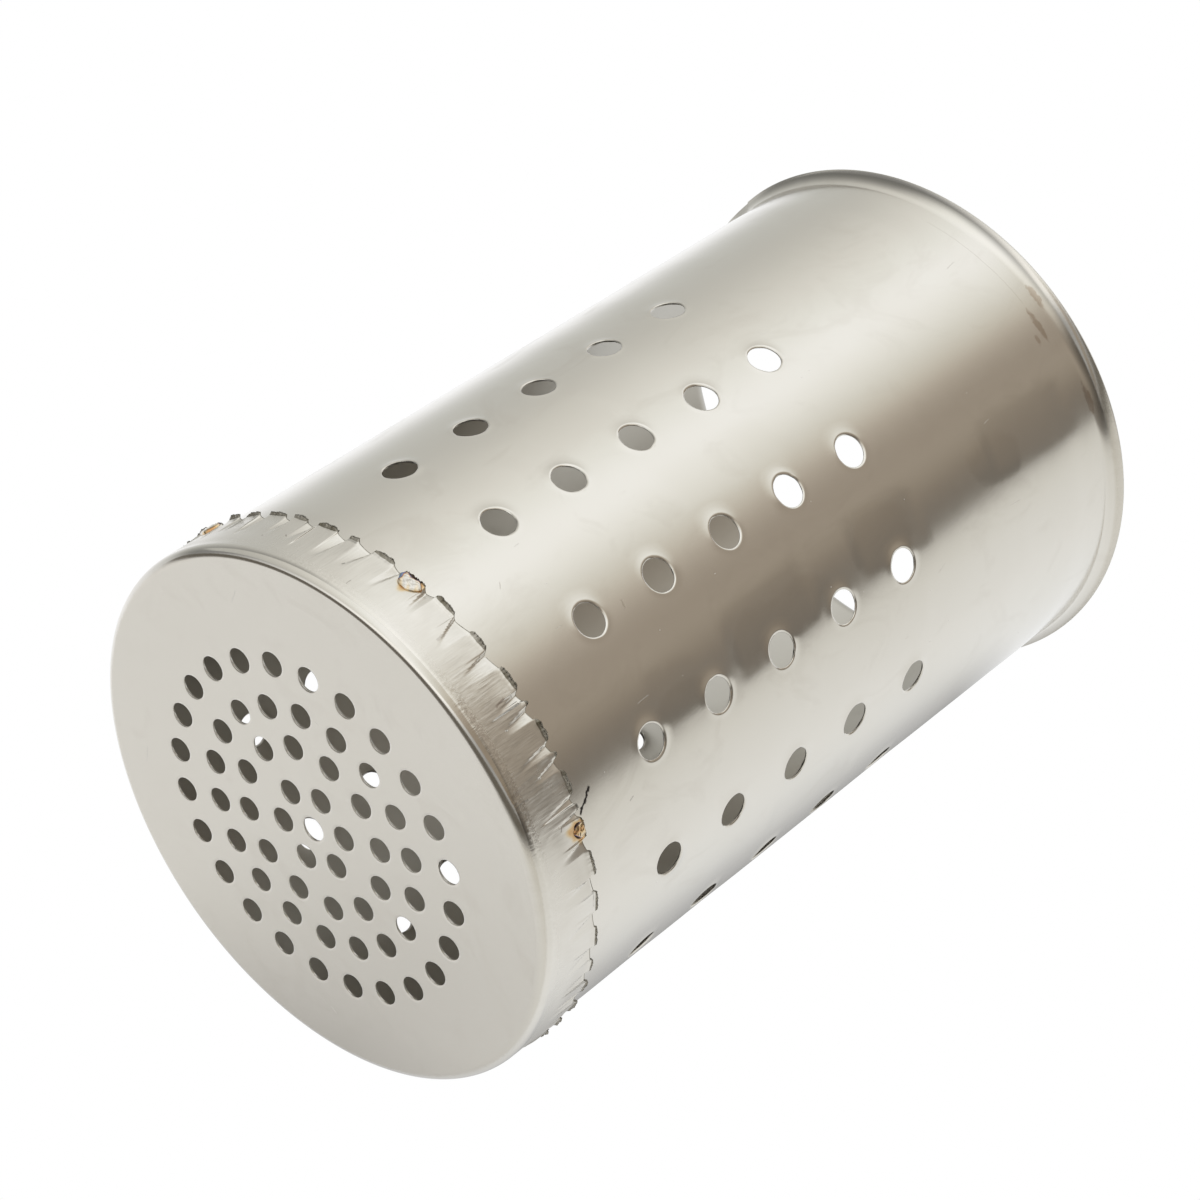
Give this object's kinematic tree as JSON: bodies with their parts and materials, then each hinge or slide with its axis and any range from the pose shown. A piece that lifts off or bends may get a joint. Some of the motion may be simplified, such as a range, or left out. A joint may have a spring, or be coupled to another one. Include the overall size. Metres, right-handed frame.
{
  "type": "cheese mold",
  "caption": "Cylindrical stainless cheese mold: punched rolled wall with a belled rim, closed by a perforated base cap crimped over the wall and tack welded.",
  "frame": {"origin": "centre of the base cap's outer face, on the axis of the wall", "axes": "+Z along the mold's axis from the base to the open rim, +Y towards the wall's longitudinal seam"},
  "size_m": [0.104, 0.104, 0.165],
  "materials": {
    "wall_steel": "satin cold-rolled stainless sheet, fine grain along the axis, handling marks",
    "cap_steel": "satin stainless sheet, pressed and crimped skirt",
    "seam_metal": "ground weld bead with light heat tint",
    "tack_metal": "as-welded puddle, straw, brown and blue heat tint"
  },
  "bodies": {
    "root": {"wall_sheet": "wall_steel", "base_cap": "cap_steel", "seam_weld": "seam_metal", "tack_welds": "tack_metal"}
  },
  "joints": []
}
